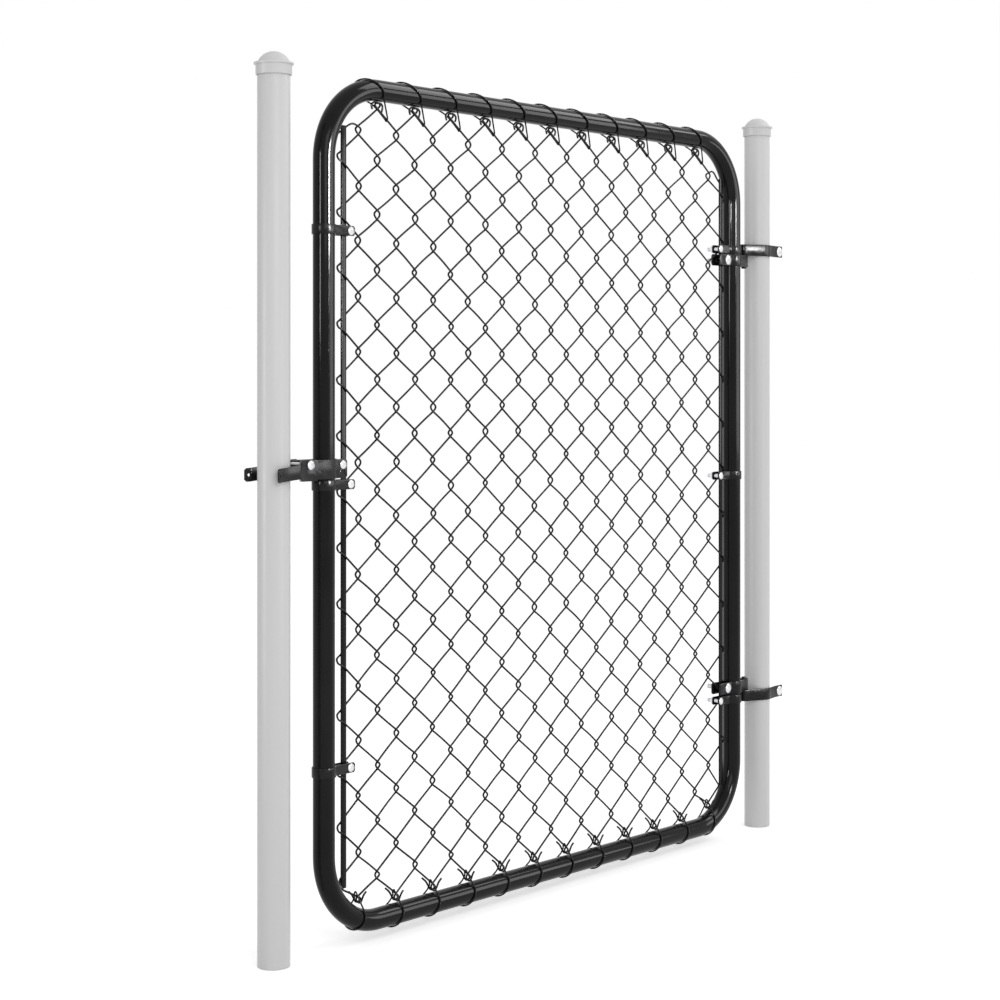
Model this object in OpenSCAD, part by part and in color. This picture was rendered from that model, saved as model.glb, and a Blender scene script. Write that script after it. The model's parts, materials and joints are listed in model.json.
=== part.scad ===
// Chain link walk gate between its two posts, with a bent tube frame, woven wire mesh,
// strap hinges and a lift-up fork latch. Millimetres. The origin is the middle of the hinge
// post's foot, +Z is up, and the gate runs from the hinge post towards -X.
// The front, with the bolt heads, faces -Y.

/* [Gate frame] */
// Width of the gate over its tube frame
gate_w = 1174.6; // [900:0.1:1500]
// Height of the gate over its tube frame
gate_h = 1370; // [1000:1:1800]
// Outside diameter of the frame tube
frame_od = 34.9; // [30:0.1:42.4]
// Wall of the frame tube
frame_wall = 1.65; // [1.2:0.05:3]
// Bend radius of the frame's corners, to the middle of the tube
corner_r = 120; // [90:1:180]
// Height of the frame's underside above the ground
ground_gap = 10.5; // [6:0.5:80]

/* [Posts] */
// Outside diameter of both posts
post_od = 50.8; // [42.4:0.1:60.3]
// Wall of both posts
post_wall = 1.65; // [1.2:0.05:3]
// Height of the hinge post's end above the frame's upper edge
hinge_post_over = 21.5; // [0:0.5:300]
// Height of the latch post's end above the frame's upper edge
latch_post_over = -1.5; // [-100:0.5:300]
// Gap between the hinge post and the frame tube
hinge_gap = 48.4; // [42:0.1:60]
// Gap between the latch post and the frame tube
latch_gap = 65.2; // [62:0.1:80]
// Height of the domed cap above its brim
cap_dome_h = 17.5; // [10:0.5:24]
// Thickness of the cap's brim
cap_brim_t = 3; // [2:0.5:5]
// How far the brim stands out past the post
cap_brim_out = 5.4; // [4:0.1:9]
// Depth of the cap's skirt over the post
cap_skirt_h = 16; // [10:0.5:30]
// Wall of the cap
cap_wall = 2.4; // [1.5:0.1:3.5]

/* [Hinges] */
// Distance from the hinge post's face to the hinge pin
pin_out = 22.2; // [20:0.1:26]
// Diameter of the hinge pins
pin_d = 10; // [8:0.1:12]
// Thickness of the hinge and latch straps
strap_t = 2.8; // [2.4:0.1:3.2]
// Height of the hinge straps
strap_h = 22.4; // [18:0.1:28]
// Distance from the frame's upper edge down to the middle of the top frame hinge
top_hinge_drop = 248.1; // [215:0.1:400]
// Distance from the frame's lower edge up to the middle of the bottom frame hinge
bottom_hinge_rise = 279.1; // [215:0.1:400]
// Diameter of the hinge bolts
hinge_bolt_d = 9.5; // [8:0.1:10]
// Half the gap between the two ears of a frame hinge
hinge_ear_y = 8; // [6:0.1:9]
// Length of a frame hinge's ears past its bolt
hinge_ear_past = 28; // [10:0.5:30]
// Distance from the post's middle to its strap's bolt
post_bolt_out = 49; // [46:0.5:60]
// Half the gap between the two ears of a post strap
post_ear_y = 19; // [15:0.5:22]

/* [Latch] */
// Height of the latch clamp's middle above ground
latch_z = 757; // [500:1:1000]
// Height of the latch clamp
clamp_h = 30; // [26:0.5:36]
// Drop from the clamp's upper edge to the fork's pivot
pivot_drop = 7; // [6.5:0.5:14]
// Drop from the clamp's upper edge to its bolt
clamp_bolt_drop = 9; // [7:0.5:20]
// Diameter of the pivot bolt
pivot_bolt_d = 7.9; // [6.3:0.1:9.5]
// Distance from the frame tube's middle to the fork's pivot
pivot_out = 52; // [48:0.5:56]
// Length of the fork from its pivot to the tips of its tines
fork_len = 82; // [74:0.5:100]
// Height of the fork's tines
tine_h = 21; // [16:0.5:25]
// How far the tines dip from root to tip
tine_dip = 4; // [0:0.5:6]
// Half the gap between the fork's tines
tine_y = 31; // [31:0.1:36]

/* [Tension bars and bands] */
// Width of the flat tension bars
bar_w = 10.5; // [9:0.1:12]
// Thickness of the flat tension bars
bar_t = 3.2; // [2.5:0.1:4]
// Gap between the latch side tube and its tension bar
left_bar_gap = 21; // [19:0.1:30]
// Height of a tension band
band_h = 16; // [14:0.5:22]
// Thickness of a tension band
band_t = 1.8; // [1.5:0.1:2.2]
// Half the gap between a tension band's ears
ear_y = 6; // [6:0.1:8]
// Diameter of the tension band bolts
band_bolt_d = 7.9; // [6.3:0.1:8.5]
// Distance from the frame's upper edge down to the latch side's top band
left_band_drop = 247.5; // [200:0.5:400]
// Distance from the frame's lower edge up to the latch side's bottom band
left_band_rise = 271; // [200:0.5:400]
// Height of the hinge side's middle band above the frame's middle
right_band_over = 12.5; // [-60:0.5:60]
// Gap between the latch clamp and the band under it
clamp_band_gap = 0.5; // [0.3:0.1:12]
// Gap between the top frame hinge and the band over it
top_band_gap = 1.4; // [0.3:0.1:12]
// Gap between the bottom frame hinge and the band under it
bottom_band_gap = 4.4; // [0.3:0.1:12]

/* [Mesh] */
// Nominal width and height of one diamond
diamond = 88.6; // [60:0.1:110]
// How far the weave runs out past the middle of the latch side's tension bar
left_weave_out = 11; // [1:0.1:12]
// How far the weave runs out past the middle of the hinge side's tension bar
right_weave_out = 1.5; // [1:0.1:2]
// Diameter of the mesh wire
wire_d = 3; // [2.4:0.1:3.2]
// Half the width of the eye where two wires hook together
eye = 3.8; // [3.6:0.1:5]
// Diameter of the tie wires
tie_d = 2.6; // [2:0.1:3]
// How far a top tie leans along the rail
top_tie_lean = 40; // [0:1:45]
// How far a bottom tie leans along the rail
bottom_tie_lean = 18; // [0:1:30]

/* [Hidden] */
$fn = 64;

// Clearances
seat = 0.3;           // between pieces that lie against each other
tube_fit = 0.15;      // between a strap and the round tube inside it
bolt_fit = 0.1;       // round a bolt in its hole
pin_fit = 0.08;       // round a hinge pin or the fork's pivot
over = 1;             // how far a cut runs past the piece

// Radii
frame_r = frame_od / 2;
post_r = post_od / 2;
pin_r = pin_d / 2;
hinge_bolt_r = hinge_bolt_d / 2;
band_bolt_r = band_bolt_d / 2;
pivot_bolt_r = pivot_bolt_d / 2;

// Places along the gate
right_x = -(post_r + hinge_gap + frame_r);
left_x = right_x - (gate_w - frame_od);
latch_x = left_x - frame_r - latch_gap - post_r;
hinge_x = -(post_r + pin_out);
hinge_bolt_gap = 1.15;
hinge_head_gap = 0.25;
hinge_head_r = 9.6;
hinge_ear_out = hinge_ear_y + strap_t;
ring_edge = sqrt(pow(frame_r + tube_fit + strap_t, 2) - pow(hinge_ear_out, 2));
hinge_bolt_x = right_x - ring_edge - hinge_head_gap - hinge_head_r;
right_bar_x = hinge_bolt_x - hinge_bolt_r - hinge_bolt_gap - bar_w / 2;
left_bar_x = left_x + frame_r + left_bar_gap + bar_w / 2;
pivot_x = left_x - pivot_out;

// Heights of the frame
frame_top = ground_gap + gate_h;
rail_low = ground_gap + frame_r;
rail_high = frame_top - frame_r;
frame_mid = (rail_low + rail_high) / 2;
hinge_post_h = frame_top + hinge_post_over;
latch_post_h = frame_top + latch_post_over;
top_hinge_z = frame_top - top_hinge_drop;
bottom_hinge_z = ground_gap + bottom_hinge_rise;
bend_low = rail_low + corner_r;
bend_high = rail_high - corner_r;
bend_left = left_x + corner_r;
bend_right = right_x - corner_r;
inner_r = corner_r - frame_r;
outer_r = corner_r + frame_r;

// Wire sections are square, with the area of the round wire
wire = wire_d * sqrt(PI) / 2;
tie = tie_d * sqrt(PI) / 2;

// The weave: front strands run down to the right, back strands down to the left
strand_y = wire / 2 + seat / 2;
bend_rise = 2.5;                       // from a bend's middle to the end of each strand
knuckle_rise = 5.6;                    // height of the folded wire end over its bend
knuckle_h = knuckle_rise + wire / sqrt(2);
knuckle_w = 2 * eye;                   // reach of a folded end to each side of its bend
weave_left = left_bar_x - left_weave_out;
weave_right = right_bar_x + right_weave_out;
pickets = 2 * round((weave_right - weave_left) / diamond);
column = (weave_right - weave_left) / pickets;
mesh_top = rail_high - frame_r - seat - knuckle_h;
mesh_low = rail_low + frame_r + seat + knuckle_h;
half_rows = 2 * round((mesh_top - mesh_low) / diamond - 0.5) + 1;
half_row = (mesh_top - mesh_low) / half_rows;

// Loops round the tension bars
loop_least = 4.5;                      // the least that a loop stands out past the bar's edge
loop_slope = 0.95;                     // rise of a loop's legs for each millimetre that it stands out
loop_rise_least = 7;
leg_gap = 1.05;                        // between a loop's legs and the bar's faces
loop_y = (bar_t + wire) / 2 + leg_gap;
bar_end_gap = 3;                       // from a bar's corner to the bend of the frame

// Fasteners
band_head_r = 6.8;
band_head_h = 3.2;
hinge_head_h = 4.6;
pivot_head_r = 7.3;
pivot_head_h = 3.4;
band_bolt_end = 24;
hinge_bolt_end = 38;
bolt_tip = 0.8;                        // the chamfer at a bolt's end
nut_flats_share = 3.4;                 // nut sizes as shares of the bolt's radius
nut_h_share = 1.6;
ear_past_bolt = 9;
ear_clip = 3;

// Small helpers
function unit(v) = v / norm(v);
function mix(a, b, f) = a + (b - a) * f;
function is_odd(n) = n % 2 == 1;

// How far x lies in a corner of the frame, past the straight stretch of a rail
function in_corner(x) = max(0, bend_left - x, x - bend_right);
function inner_edge(x) = sqrt(max(0, pow(inner_r, 2) - pow(in_corner(x), 2)));
function outer_edge(x) = sqrt(max(0, pow(outer_r, 2) - pow(in_corner(x), 2)));

// Half the height of a tension bar that ends clear of the frame's corners
function bar_reach(x, side) =
    let (edge = in_corner(x + side * bar_w / 2))
    (bend_high - bend_low) / 2 + sqrt(pow(inner_r - bar_end_gap, 2) - pow(edge, 2));
left_bar_half = bar_reach(left_bar_x, -1);
right_bar_half = bar_reach(right_bar_x, 1);

// The frame's inner edge beside height z: s is -1 on the latch side and 1 on the hinge side
function frame_inside(z, s) =
    let (past_bend = max(0, abs(z - frame_mid) - (bend_high - bend_low) / 2),
         side = inner_r * cos(asin(min(1, past_bend / inner_r))))
    s < 0 ? bend_left - side : bend_right + side;

// Loops round the bars
function bar_x(s) = s > 0 ? right_bar_x : left_bar_x;
function loop_edge(s) = bar_x(s) + s * bar_w / 2;
function loop_out(s) = max(loop_least, (s < 0 ? left_weave_out : right_weave_out) + eye - bar_w / 2);
// How far the frame lets a loop at height z stand out
function loop_room(z, s) =
    let (outer_z = z + (z < frame_mid ? -wire : wire))
    abs(frame_inside(outer_z, s) - loop_edge(s)) - wire / sqrt(2) - seat;
function loop_rise(s) = max(loop_rise_least, loop_slope * loop_out(s));

// A bolt beside a tension bar keeps clear of the strands that leave the nearest loop
function row_z(k) = mesh_top - half_row * k;
function near_loop(z) = row_z(2 * round((mesh_top - z) / (2 * half_row)));
band_bolt_gap = 0.5;
function leg_slope(s) =
    (half_row - bend_rise - loop_rise(s))
    / (column + eye + bar_w / 2 - (s < 0 ? left_weave_out : right_weave_out));
function leg_rise(s) = loop_rise(s) + leg_slope(s) * (bar_w + band_bolt_gap + band_bolt_r);
function leg_room(s) = (band_bolt_r + wire / 2 + seat) * norm([1, leg_slope(s)]);
// way is 1 for a band that may only move up, -1 for one that may only move down, and else 0
function past_strand(d, s, way) =
    let (a = abs(d), sign = d < 0 ? -1 : 1,
         low = leg_rise(s) - leg_room(s), high = leg_rise(s) + leg_room(s),
         outward = way == 0 ? a > leg_rise(s) : way == sign)
    a <= low || a >= high ? d : sign * (outward ? high : low);
function band_z(z, s, way) = near_loop(z) + past_strand(z - near_loop(z), s, way);

// The path of one picket, a zigzag wire between two columns of bends
function column_x(j) = weave_left + (j + 1) * column;
function on_right(i, k) = is_odd(i) == !is_odd(k);
function on_bar(i, k) = (i == 0 && !on_right(i, k)) || (i == pickets - 1 && on_right(i, k));
function bar_half(i) = i == 0 ? left_bar_half : right_bar_half;
function holds_bar(i, k) =
    abs(row_z(k) - frame_mid) < bar_half(i) - wire && loop_room(row_z(k), i == 0 ? -1 : 1) >= loop_least;
function bend_z(i, k) =
    k < half_rows ? row_z(k)
    : let (x = column_x(on_right(i, k) ? i : i - 1),
           low = min(inner_edge(x - knuckle_w), inner_edge(x + knuckle_w)))
      max(row_z(k), bend_low - low + seat + knuckle_h);

// A bend between two columns: s is 1 on the right of the picket and -1 on its left
function eye_points(x, z, s) =
    [[x + s * eye, -s * strand_y, z + bend_rise], [x + s * eye, s * strand_y, z - bend_rise]];
function loop_points(z, s) =
    let (edge = loop_edge(s), out = min(loop_out(s), loop_room(z, s)))
    [[edge, -s * loop_y, z + loop_rise(s)], [edge + s * out, 0, z],
     [edge, s * loop_y, z - loop_rise(s)]];
// The nearest that a wire comes to the bar's inner edge where it doesn't go round it
function beside_bar(s) = bar_x(s) - s * (bar_w / 2 + wire + seat);
// A loop past the end of the bar hangs free inside the frame's corner
free_gap = 9;
function free_points(i, z, s) =
    let (by_frame = frame_inside(z, s) - s * free_gap,
         by_bar = beside_bar(s),
         under_bar = abs(z - frame_mid) > bar_half(i) + bend_rise + wire + seat,
         x = under_bar ? by_frame : s < 0 ? max(by_frame, by_bar) : min(by_frame, by_bar))
    [[x, -s * strand_y, z + bend_rise], [x, s * strand_y, z - bend_rise]];
// The folded end of a wire, hooked round its neighbour: v is 1 at the top and -1 at the bottom
knuckle_tip = 1.9 * eye;
knuckle_tip_rise = 1.2;
knuckle_far = 1.3 * eye;
knuckle_near = 0.4 * eye;
function knuckle_points(x, z, s, v) =
    let (y = -s * v * strand_y)
    [[x - s * knuckle_tip, y, z + v * knuckle_tip_rise], [x - s * knuckle_far, y, z + v * knuckle_rise],
     [x + s * knuckle_near, y, z + v * knuckle_rise], [x + s * eye, y, z + v * bend_rise]];
// Over the end of a tension bar the wire is cut short and bent down to the bar
short_crest = 0.5;                     // share of the way to the bar at which the wire is highest
short_rise = 9;
short_drop = 1;
function short_end(i, s) =
    let (x = column_x(s > 0 ? i - 1 : i),
         z = row_z(1),
         y = s * strand_y)
    [[beside_bar(s), y, z - short_drop], [mix(x, beside_bar(s), short_crest), y, z + short_rise]];
function bend_points(i, k) =
    let (s = on_right(i, k) ? 1 : -1, x = column_x(s > 0 ? i : i - 1), z = bend_z(i, k))
    k == 0 && on_bar(i, k) ? short_end(i, s)
    : k == 0 ? concat(knuckle_points(x, z, s, 1), [[x + s * eye, s * strand_y, z - bend_rise]])
    : k == half_rows
        ? let (kn = knuckle_points(x, z, s, -1))
          [[x + s * eye, -s * strand_y, z + bend_rise], kn[3], kn[2], kn[1], kn[0]]
    : on_bar(i, k) ? (holds_bar(i, k) ? loop_points(z, s) : free_points(i, z, s))
    : eye_points(x, z, s);
function picket_path(i) = [for (k = [0 : half_rows]) each bend_points(i, k)];

// Rings of a square wire along a path: ref is the way that one side of the section faces
function step_dir(path, i, shut) =
    let (n = len(path),
         prev = shut ? (i + n - 1) % n : max(i - 1, 0),
         next = shut ? (i + 1) % n : min(i + 1, n - 1),
         a = prev == i ? [0, 0, 0] : unit(path[i] - path[prev]),
         b = next == i ? [0, 0, 0] : unit(path[next] - path[i]))
    unit(a + b);
function wire_points(path, size, ref, shut) =
    [for (i = [0 : len(path) - 1])
        let (t = step_dir(path, i, shut),
             u = unit(cross(t, ref)) * size / 2,
             w = unit(cross(u, t)) * size / 2)
        each [path[i] + u + w, path[i] - u + w, path[i] - u - w, path[i] + u - w]];
function side_faces(a, b) =
    [for (c = [0 : 3]) let (d = (c + 1) % 4) each [[a + c, a + d, b + d], [a + c, b + d, b + c]]];

module wire_solid(path, size, ref, shut = false) {
    n = len(path);
    sides = [for (i = [0 : n - 2]) each side_faces(4 * i, 4 * i + 4)];
    ends = shut ? side_faces(4 * n - 4, 0) : [[3, 2, 1, 0], [4 * n - 4, 4 * n - 3, 4 * n - 2, 4 * n - 1]];
    polyhedron(wire_points(path, size, ref, shut), concat(sides, ends), convexity = 10);
}

// Plan shapes of the straps

// A strip of thickness t from point a to point b
module strip_2d(a, b, t) {
    translate(a) rotate(atan2(b[1] - a[1], b[0] - a[0])) translate([0, -t / 2]) square([norm(b - a), t]);
}

module bent_strip_2d(points, t) {
    for (i = [0 : len(points) - 2]) strip_2d(points[i], points[i + 1], t);
    for (i = [1 : len(points) - 2]) translate(points[i]) circle(t / 2);
}

// The plate between two round lobes, bounded by their common tangents
module tangent_2d(d, ra, rb) {
    a = asin((ra - rb) / d);
    polygon([[ra * sin(a), ra * cos(a)], [d + rb * sin(a), rb * cos(a)],
             [d + rb * sin(a), -rb * cos(a)], [ra * sin(a), -ra * cos(a)]]);
}

// A strap round a tube at the origin and a hinge eye at [d, 0], with the eye left solid
module lobes_2d(r, d, eye_r) {
    difference() {
        union() {
            circle(r + strap_t);
            tangent_2d(d, r + strap_t, eye_r);
        }
        tangent_2d(d, r, eye_r - strap_t);
        circle(r);
    }
    translate([d, 0]) circle(eye_r);
}

// A flat ear that stands along +X, with clipped corners, its near face at height y
module ear(x0, x1, y, t, h, clip) {
    rotate([90, 0, 0]) translate([0, 0, -y - t])
        linear_extrude(t) polygon([[x0, -h / 2], [x1 - clip, -h / 2], [x1, -h / 2 + clip],
                                   [x1, h / 2 - clip], [x1 - clip, h / 2], [x0, h / 2]]);
}

// A split ring round the frame tube with two parallel ears along +X and a bolt hole
ear_root = 0.3;                        // where an ear starts, as a share of the ring's wall
module eared_ring(t, h, y, bolt_out, bolt_r, past = ear_past_bolt) {
    r = frame_r + tube_fit;
    start = sqrt(pow(r, 2) - pow(y, 2)) + ear_root * t;
    stop = bolt_out + past;
    difference() {
        union() {
            translate([0, 0, -h / 2]) linear_extrude(h) difference() {
                circle(r + t);
                circle(r);
                translate([0, -y]) square([r + t + over, 2 * y]);
            }
            ear(start, stop, y, t, h, ear_clip);
            ear(start, stop, -y - t, t, h, ear_clip);
        }
        translate([bolt_out, 0, 0]) cross_hole(bolt_r + bolt_fit, y + t);
    }
}

// A hole along Y through both ears
module cross_hole(r, reach) {
    rotate([90, 0, 0]) cylinder(r = r, h = 2 * (reach + over), center = true);
}

// A carriage bolt along +Y whose head seats at y = from, with its nut at y = to
module bolt_and_nut(from, to, stop, r, head_r, head_h) {
    sphere_r = (pow(head_r, 2) + pow(head_h, 2)) / (2 * head_h);
    nut_flats = nut_flats_share * r;
    nut_h = nut_h_share * r;
    color([0.82, 0.83, 0.84]) rotate([-90, 0, 0]) {
        translate([0, 0, from]) intersection() {
            translate([0, 0, sphere_r - head_h]) sphere(sphere_r);
            translate([0, 0, -head_h - over]) cylinder(r = head_r + over, h = head_h + over);
        }
        translate([0, 0, from]) cylinder(r = r, h = stop - from - bolt_tip);
        translate([0, 0, stop - bolt_tip]) cylinder(r1 = r, r2 = r - bolt_tip, h = bolt_tip);
        translate([0, 0, to]) difference() {
            cylinder(d = nut_flats / cos(30), h = nut_h, $fn = 6);
            translate([0, 0, -over]) cylinder(r = r + bolt_fit, h = nut_h + 2 * over);
        }
    }
}

// Posts and caps

module post(x, h) {
    color([0.8, 0.8, 0.8]) translate([x, 0, 0]) difference() {
        cylinder(r = post_r, h = h);
        translate([0, 0, -over]) cylinder(r = post_r - post_wall, h = h + 2 * over);
    }
}

module cap(x, h) {
    dome_base = post_r;
    dome_r = (pow(dome_base, 2) + pow(cap_dome_h, 2)) / (2 * cap_dome_h);
    color([0.8, 0.8, 0.8]) translate([x, 0, h]) difference() {
        union() {
            translate([0, 0, -cap_skirt_h]) cylinder(r = post_r + cap_wall + tube_fit, h = cap_skirt_h);
            cylinder(r = post_r + cap_brim_out, h = cap_brim_t);
            intersection() {
                translate([0, 0, cap_brim_t + cap_dome_h - dome_r]) sphere(dome_r);
                translate([0, 0, cap_brim_t / 2]) cylinder(r = dome_base, h = cap_brim_t + cap_dome_h);
            }
        }
        translate([0, 0, -cap_skirt_h - over]) cylinder(r = post_r + tube_fit, h = cap_skirt_h + over);
        intersection() {
            translate([0, 0, cap_brim_t + cap_dome_h - dome_r]) sphere(dome_r - cap_wall);
            translate([0, 0, -over]) cylinder(r = dome_base - cap_wall, h = cap_dome_h + 2 * over);
        }
    }
}

module hinge_post() { post(0, hinge_post_h); }
module hinge_post_cap() { cap(0, hinge_post_h); }
module latch_post() { post(latch_x, latch_post_h); }
module latch_post_cap() { cap(latch_x, latch_post_h); }

// Hinges: a pin on the post's strap turns in an eye on the frame's strap

eye_r = pin_r + pin_fit + strap_t;
hinge_lift = 0.4;                      // between the two straps of a hinge
pin_past = 3;                          // how far the pin stands out of the frame's eye
post_bend_x = 36;                      // where a post strap's ears turn parallel
post_ear_end = post_bolt_out + 9.5;
post_bolt_past = 14;                   // from a post strap's back ear to the end of its bolt
leave_a = 20;                          // angle past the post's front where the strap leaves it
strip_root = 0.2;                      // how far the straight part starts inside the bent one

// Pin points up with up = 1 and down with up = -1
module post_hinge(frame_hinge_z, up) {
    r = post_r + tube_fit;
    mid_r = r + strap_t / 2;
    leave = [mid_r * sin(leave_a), mid_r * cos(leave_a)];
    ear_mid = post_ear_y + strap_t / 2;
    z = frame_hinge_z - up * (strap_h + hinge_lift);
    color([0.1, 0.1, 0.1]) difference() {
        union() {
            translate([0, 0, z - strap_h / 2]) linear_extrude(strap_h) {
                mirror([1, 0]) difference() {
                    lobes_2d(r, -hinge_x, eye_r);
                    translate([-r - strap_t - over, -r - strap_t - over])
                        square([r + strap_t + over - leave[0], 2 * (r + strap_t + over)]);
                }
                for (side = [-1, 1])
                    bent_strip_2d([[leave[0] - strip_root, side * leave[1]], [leave[0], side * leave[1]],
                                   [post_bend_x, side * ear_mid], [post_ear_end, side * ear_mid]], strap_t);
            }
            translate([hinge_x, 0, z]) rotate([up > 0 ? 0 : 180, 0, 0])
                cylinder(r = pin_r, h = 1.5 * strap_h + hinge_lift + pin_past);
        }
        translate([post_bolt_out, 0, z]) cross_hole(hinge_bolt_r + bolt_fit, post_ear_y + strap_t);
    }
}

module post_hinge_bolt(frame_hinge_z, up) {
    y = post_ear_y + strap_t;
    translate([post_bolt_out, 0, frame_hinge_z - up * (strap_h + hinge_lift)])
        bolt_and_nut(-y, y, y + post_bolt_past, hinge_bolt_r, hinge_head_r, hinge_head_h);
}

module top_post_hinge() { post_hinge(top_hinge_z, -1); }
module top_post_hinge_bolt() { post_hinge_bolt(top_hinge_z, -1); }
module bottom_post_hinge() { post_hinge(bottom_hinge_z, 1); }
module bottom_post_hinge_bolt() { post_hinge_bolt(bottom_hinge_z, 1); }

module frame_hinge(z) {
    color([0.1, 0.1, 0.1]) difference() {
        union() {
            translate([right_x, 0, z]) mirror([1, 0, 0])
                eared_ring(strap_t, strap_h, hinge_ear_y, right_x - hinge_bolt_x, hinge_bolt_r,
                           hinge_ear_past);
            translate([right_x, 0, z - strap_h / 2]) linear_extrude(strap_h) difference() {
                lobes_2d(frame_r + tube_fit, hinge_x - right_x, eye_r);
                translate([-frame_od, -frame_od]) square([frame_od, 2 * frame_od]);
            }
        }
        translate([hinge_x, 0, z - strap_h / 2 - over])
            cylinder(r = pin_r + pin_fit, h = strap_h + 2 * over);
    }
}

module frame_hinge_bolt(z) {
    y = hinge_ear_out;
    translate([hinge_bolt_x, 0, z])
        bolt_and_nut(-y, y, hinge_bolt_end, hinge_bolt_r, hinge_head_r, hinge_head_h);
}

module top_frame_hinge() { frame_hinge(top_hinge_z); }
module top_frame_hinge_bolt() { frame_hinge_bolt(top_hinge_z); }
module bottom_frame_hinge() { frame_hinge(bottom_hinge_z); }
module bottom_frame_hinge_bolt() { frame_hinge_bolt(bottom_hinge_z); }

// Frame: one tube with four bends

// All about the frame's middle, so that each straight ends exactly where its bend starts
module frame_path(r) {
    half_w = (bend_right - bend_left) / 2;
    half_h = (bend_high - bend_low) / 2;
    translate([(left_x + right_x) / 2, 0, frame_mid]) {
        for (side = [-1, 1]) {
            translate([side * (half_w + corner_r), 0, 0]) cylinder(r = r, h = 2 * half_h, center = true);
            translate([0, 0, side * (half_h + corner_r)]) rotate([0, 90, 0])
                cylinder(r = r, h = 2 * half_w, center = true);
        }
        for (right = [0, 1], high = [0, 1])
            mirror([1 - right, 0, 0]) mirror([0, 0, 1 - high]) translate([half_w, 0, half_h])
                rotate([90, 0, 0]) rotate_extrude(angle = 90) translate([corner_r, 0]) circle(r);
    }
}

module gate_frame() {
    color([0.08, 0.08, 0.08]) difference() {
        frame_path(frame_r);
        frame_path(frame_r - frame_wall);
    }
}

// Tension bars, bands and their bolts

module tension_bar(x, half) {
    color([0.1, 0.1, 0.1]) translate([x, 0, frame_mid]) cube([bar_w, bar_t, 2 * half], center = true);
}
module left_tension_bar() { tension_bar(left_bar_x, left_bar_half); }
module right_tension_bar() { tension_bar(right_bar_x, right_bar_half); }

left_band_out = left_bar_x + bar_w / 2 + band_bolt_gap + band_bolt_r - left_x;
right_band_out = right_x - (right_bar_x - bar_w / 2 - band_bolt_gap - band_bolt_r);

// side is 1 on the latch side, where the ears point to +X, and -1 on the hinge side
module band(x, bolt_out, z, side) {
    color([0.1, 0.1, 0.1]) translate([x, 0, z]) mirror([side > 0 ? 0 : 1, 0, 0])
        eared_ring(band_t, band_h, ear_y, bolt_out, band_bolt_r);
}
module band_bolt(x, bolt_out, z, side) {
    y = ear_y + band_t;
    translate([x + side * bolt_out, 0, z])
        bolt_and_nut(-y, y, band_bolt_end, band_bolt_r, band_head_r, band_head_h);
}

// Heights of the bands, which keep clear of the latch and the hinges, from the top down
left_bands = [
    band_z(frame_top - left_band_drop, -1, 0),
    band_z(latch_z - clamp_h / 2 - clamp_band_gap - band_h / 2, -1, -1),
    band_z(ground_gap + left_band_rise, -1, 0)];
right_bands = [
    band_z(top_hinge_z + strap_h / 2 + top_band_gap + band_h / 2, 1, 1),
    band_z(frame_mid + right_band_over, 1, 0),
    band_z(bottom_hinge_z - strap_h / 2 - bottom_band_gap - band_h / 2, 1, -1)];
module left_band(n) { band(left_x, left_band_out, left_bands[n], 1); }
module left_band_bolt(n) { band_bolt(left_x, left_band_out, left_bands[n], 1); }
module right_band(n) { band(right_x, right_band_out, right_bands[n], -1); }
module right_band_bolt(n) { band_bolt(right_x, right_band_out, right_bands[n], -1); }

// Latch: a clamp on the frame carries the fork, whose tines straddle the latch post

clamp_ear_y = 9;
clamp_bolt_out = frame_r + 14;
leg_y = frame_r + tube_fit + seat;     // inner face of the legs that carry the pivot
leg_start = 4;                         // a leg leaves its half ring this far past the tube's middle
leg_past_pivot = 10;
pivot_z = latch_z + clamp_h / 2 - pivot_drop;
clamp_bolt_z = latch_z + clamp_h / 2 - clamp_bolt_drop;

// One half of the clamp: side is -1 at the front and 1 at the back
module clamp_half(side) {
    color([0.1, 0.1, 0.1]) translate([left_x, 0, 0]) difference() {
        translate([0, 0, latch_z]) {
            intersection() {
                eared_ring(strap_t, clamp_h, clamp_ear_y, clamp_bolt_out, 0);
                translate([0, side > 0 ? 0 : -frame_od, -clamp_h])
                    cube([2 * frame_od, frame_od, 2 * clamp_h]);
            }
            mirror([1, 0, 0])
                ear(-leg_start, pivot_out + leg_past_pivot, side > 0 ? leg_y : -leg_y - strap_t,
                    strap_t, clamp_h, ear_clip);
        }
        translate([clamp_bolt_out, 0, clamp_bolt_z])
            cross_hole(band_bolt_r + bolt_fit, clamp_ear_y + strap_t);
        translate([-pivot_out, 0, pivot_z]) cross_hole(pivot_bolt_r + bolt_fit, leg_y + strap_t);
    }
}
module latch_clamp_front() { clamp_half(-1); }
module latch_clamp_back() { clamp_half(1); }

module latch_clamp_bolt() {
    y = clamp_ear_y + strap_t;
    translate([left_x + clamp_bolt_out, 0, clamp_bolt_z])
        bolt_and_nut(-y, y, band_bolt_end, band_bolt_r, band_head_r, band_head_h);
}

fork_gap = 0.4;                        // between the clamp's legs and the fork's plates
plate_y = leg_y + strap_t + fork_gap;  // inner face of the fork's plates
plate_top = 8;
plate_low = 25;
plate_back = 16;                       // behind the pivot, towards the gate
plate_front = 20;                      // ahead of the pivot, where the plates flare
flare_len = 13;
tip_flare = 5;
tip_len = 9;
tine_drop = 10;                        // from the pivot down to the tines' middle
web_t = 3;
web_low = 15;
web_top = 1;
tip_hole_r = 2.5;
tip_hole_in = 5.5;                     // from the tines' ends to the middle of their holes
side_clip = 3;
pivot_bolt_past = 12;                  // from the back plate to the end of the pivot bolt

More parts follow.
